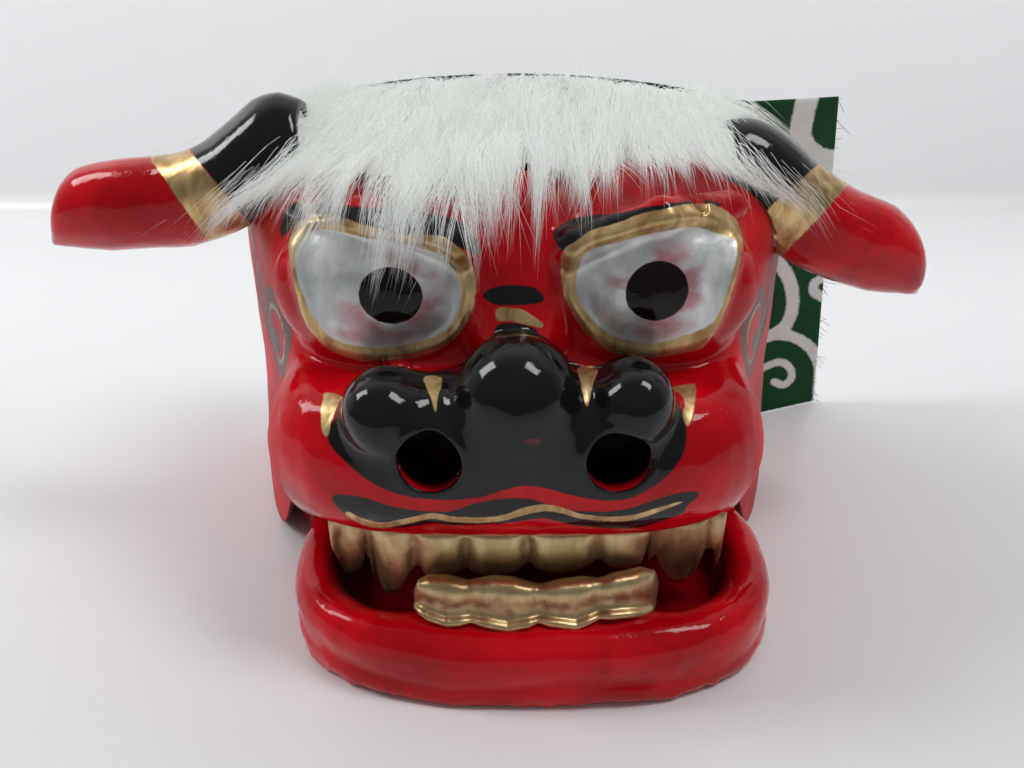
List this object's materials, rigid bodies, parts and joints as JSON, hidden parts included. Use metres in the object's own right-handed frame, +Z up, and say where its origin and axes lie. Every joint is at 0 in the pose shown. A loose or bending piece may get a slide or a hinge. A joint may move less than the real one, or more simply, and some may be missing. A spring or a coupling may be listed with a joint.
{
  "type": "lion dance head",
  "caption": "Moulded lacquered lion dance head with a hinged lower jaw, gilded teeth, mitten-shaped ears, a white fur forelock and a green scroll-pattern cloth at the back.",
  "frame": {"origin": "on the flat underside of the lower jaw, where it rests on the table, 100 mm behind the jaw's foremost point", "axes": "+Z up, the face looks along -Y, +X to the viewer's right"},
  "size_m": [0.3361, 0.2267, 0.1887],
  "materials": {
    "red_lacquer": "glossy red lacquer over moulded paper",
    "ear_lacquer": "glossy red and black lacquer with a gold band",
    "gold_paint": "brushed gold paint over moulded paper",
    "bamboo": "dark split bamboo",
    "white_fur": "long pile white fake fur",
    "green_cotton": "plain weave cotton printed with a white vine scroll"
  },
  "bodies": {
    "head": {"head_shell": "red_lacquer", "hinge_rod": "bamboo", "upper_teeth": "gold_paint", "ear_left": "ear_lacquer", "ear_right": "ear_lacquer", "forelock": "white_fur", "cape": "green_cotton"},
    "jaw": {"lower_jaw": "red_lacquer", "lower_teeth": "gold_paint"}
  },
  "joints": [
    {"name": "jaw_hinge", "type": "hinge", "parent": "head", "child": "jaw", "pos_m": [0, 0.05, 0.034], "axis": [1, 0, 0], "range_deg": [0, 30]}
  ]
}
